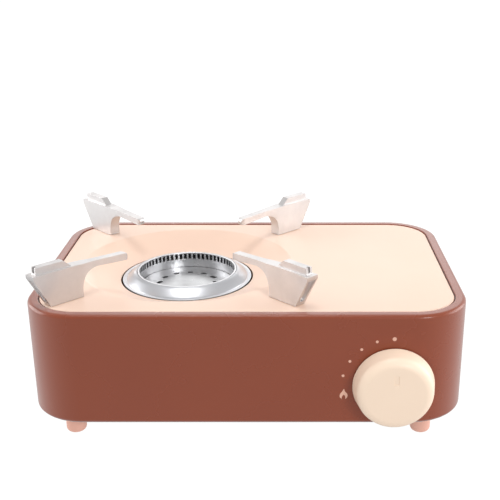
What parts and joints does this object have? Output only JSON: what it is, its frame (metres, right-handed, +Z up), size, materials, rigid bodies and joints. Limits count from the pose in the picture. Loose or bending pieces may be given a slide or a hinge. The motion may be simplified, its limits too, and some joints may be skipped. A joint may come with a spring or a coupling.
{
  "type": "camping stove",
  "caption": "Compact box-shaped camping stove with an inner-flame burner, pot supports, a lift-off top plate over a gas cartridge bay, and a front knob that lights and sets the flame.",
  "frame": {"origin": "on the floor under the middle of the stove's whole box, knob included", "axes": "+X to the right as seen from the knob side, +Y from the knob side to the back, +Z up"},
  "size_m": [0.3236, 0.2346, 0.1365],
  "materials": {
    "brown_paint": "satin terracotta brown powder coat",
    "cream_paint": "satin cream peach coating",
    "zinc_sheet": "zinc plated sheet",
    "foot_rubber": "matt peach",
    "screw_steel": "zinc plated",
    "cast_aluminium": "satin die-cast",
    "black_rubber": "matt",
    "bright_steel": "bright, finely spun",
    "burner_steel": "satin stainless",
    "ring_aluminium": "turned, fine",
    "cup_aluminium": "as cast",
    "brass": "machined",
    "regulator_zinc": "die-cast, shot-blasted",
    "magnet": "dark ferrite",
    "spring_steel": "bright wire",
    "black_plastic": "fine texture",
    "ceramic": "glazed white ceramic",
    "lead_sheath": "silicone",
    "knob_plastic": "satin cream"
  },
  "bodies": {
    "body": {"body_shell": "brown_paint", "base_pan": "zinc_sheet", "foot_front_left": "foot_rubber", "foot_front_right": "foot_rubber", "foot_back_left": "foot_rubber", "foot_back_right": "foot_rubber", "foot_screw_front_left": "screw_steel", "foot_screw_front_right": "screw_steel", "foot_screw_back_left": "screw_steel", "foot_screw_back_right": "screw_steel", "pan_screw_front_left": "screw_steel", "pan_screw_front_right": "screw_steel", "pan_screw_back_left": "screw_steel", "pan_screw_back_right": "screw_steel", "burner_dish": "bright_steel", "burner_ring": "ring_aluminium", "burner_cup": "cup_aluminium", "burner_floor": "burner_steel", "burner_bracket": "zinc_sheet", "bracket_screw_left": "screw_steel", "bracket_screw_right": "screw_steel", "mixing_tube": "zinc_sheet", "gas_jet": "brass", "regulator_body": "regulator_zinc", "regulator_screw_left": "screw_steel", "regulator_screw_right": "screw_steel", "diaphragm_cover": "regulator_zinc", "magnet_ring": "magnet", "inlet_seal": "black_rubber", "guide_pin": "spring_steel", "valve_body": "brass", "piezo_body": "black_plastic", "electrode_insulator": "ceramic", "electrode_pin": "spring_steel", "ignition_lead": "lead_sheath", "cartridge_cradle": "zinc_sheet", "cradle_screw_front": "screw_steel", "cradle_screw_back": "screw_steel", "heat_shield": "zinc_sheet", "shield_screw_front": "screw_steel", "shield_screw_back": "screw_steel"},
    "lid": {"top_plate": "cream_paint", "pot_support_front_left": "cast_aluminium", "pot_support_front_right": "cast_aluminium", "pot_support_back_left": "cast_aluminium", "pot_support_back_right": "cast_aluminium", "support_screw_front_left": "screw_steel", "support_screw_front_right": "screw_steel", "support_screw_back_left": "screw_steel", "support_screw_back_right": "screw_steel", "plate_pad_front_left": "black_rubber", "plate_pad_front_right": "black_rubber", "plate_pad_back_left": "black_rubber", "plate_pad_back_right": "black_rubber"},
    "knob": {"knob": "knob_plastic", "knob_clip": "spring_steel", "valve_spindle": "brass", "igniter_cam": "black_plastic"},
    "plunger": {"piezo_plunger": "spring_steel"}
  },
  "joints": [
    {"name": "plate_lift", "type": "slide", "parent": "body", "child": "lid", "axis": [0, 0, 1], "range_m": [0, 0.12]},
    {"name": "knob_turn", "type": "hinge", "parent": "body", "child": "knob", "pos_m": [0.106, -0.10075, 0.0513], "axis": [0, -1, 0], "range_deg": [0, 97.5]},
    {"name": "igniter_stroke", "type": "slide", "parent": "body", "child": "plunger", "axis": [-1, 0, 0], "range_m": [0, 0.00505]}
  ],
  "couplings": [
    {"joint": "igniter_stroke", "follows": "knob_turn", "m_per_rad": 0.0029383}
  ]
}
